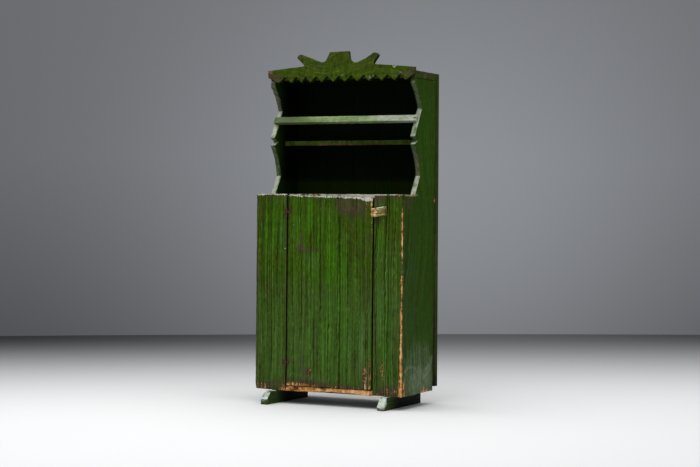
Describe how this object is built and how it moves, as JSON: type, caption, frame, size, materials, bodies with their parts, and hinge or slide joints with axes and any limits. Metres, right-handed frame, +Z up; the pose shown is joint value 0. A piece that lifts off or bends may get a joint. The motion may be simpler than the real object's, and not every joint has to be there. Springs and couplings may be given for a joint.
{
  "type": "hutch cupboard",
  "caption": "Free-standing pine cupboard with a hinged plank door, an open scalloped plate rack with shelf and rail, a sawtooth cornice and sledge runners.",
  "frame": {"origin": "on the floor, at the bottom centre of the whole object's box", "axes": "+Z up, +X to the right seen from the front, the door and front boards face -Y"},
  "size_m": [0.722, 0.436, 1.52],
  "materials": {
    "green_paint": "old oil paint, weathered over ridged pine grain",
    "worn_green_paint": "old oil paint rubbed through to the wood",
    "bare_pine": "old unpainted pine, dull",
    "cream_paint": "whittled wood, worn cream paint",
    "rusty_iron": "rusty wrought iron"
  },
  "bodies": {
    "carcass": {"left_side": "green_paint", "right_side": "green_paint", "back_board_1": "green_paint", "back_board_2": "green_paint", "back_board_3": "green_paint", "back_board_4": "green_paint", "left_stile": "green_paint", "right_stile": "green_paint", "plate_rail": "green_paint", "roof_board": "green_paint", "cornice": "green_paint", "left_runner": "green_paint", "right_runner": "green_paint", "rack_shelf": "green_paint", "counter_board": "worn_green_paint", "bottom_board": "worn_green_paint", "inner_shelf": "bare_pine", "left_cleat": "bare_pine", "right_cleat": "bare_pine", "upper_hinge_pintle": "rusty_iron", "lower_hinge_pintle": "rusty_iron", "button_nail": "rusty_iron", "stile_nails": "rusty_iron", "counter_nails": "rusty_iron", "bottom_nails": "rusty_iron", "rack_shelf_nails": "rusty_iron", "cleat_nails": "rusty_iron", "back_nails": "rusty_iron", "roof_nails": "rusty_iron", "cornice_nails": "rusty_iron", "rail_nails": "rusty_iron", "runner_nails": "rusty_iron"},
    "door": {"door_board": "green_paint", "upper_batten": "bare_pine", "lower_batten": "bare_pine", "upper_hinge_eye": "rusty_iron", "lower_hinge_eye": "rusty_iron", "batten_nails": "rusty_iron"},
    "turn_button": {"turn_button": "cream_paint"}
  },
  "joints": [
    {"name": "door_hinge", "type": "hinge", "parent": "carcass", "child": "door", "pos_m": [-0.19825, -0.1406, 0.5], "axis": [0, 0, -1], "range_deg": [0, 150]},
    {"name": "button_turn", "type": "hinge", "parent": "carcass", "child": "turn_button", "pos_m": [0.236, -0.1456, 0.83], "axis": [0, 1, 0], "continuous": true}
  ]
}
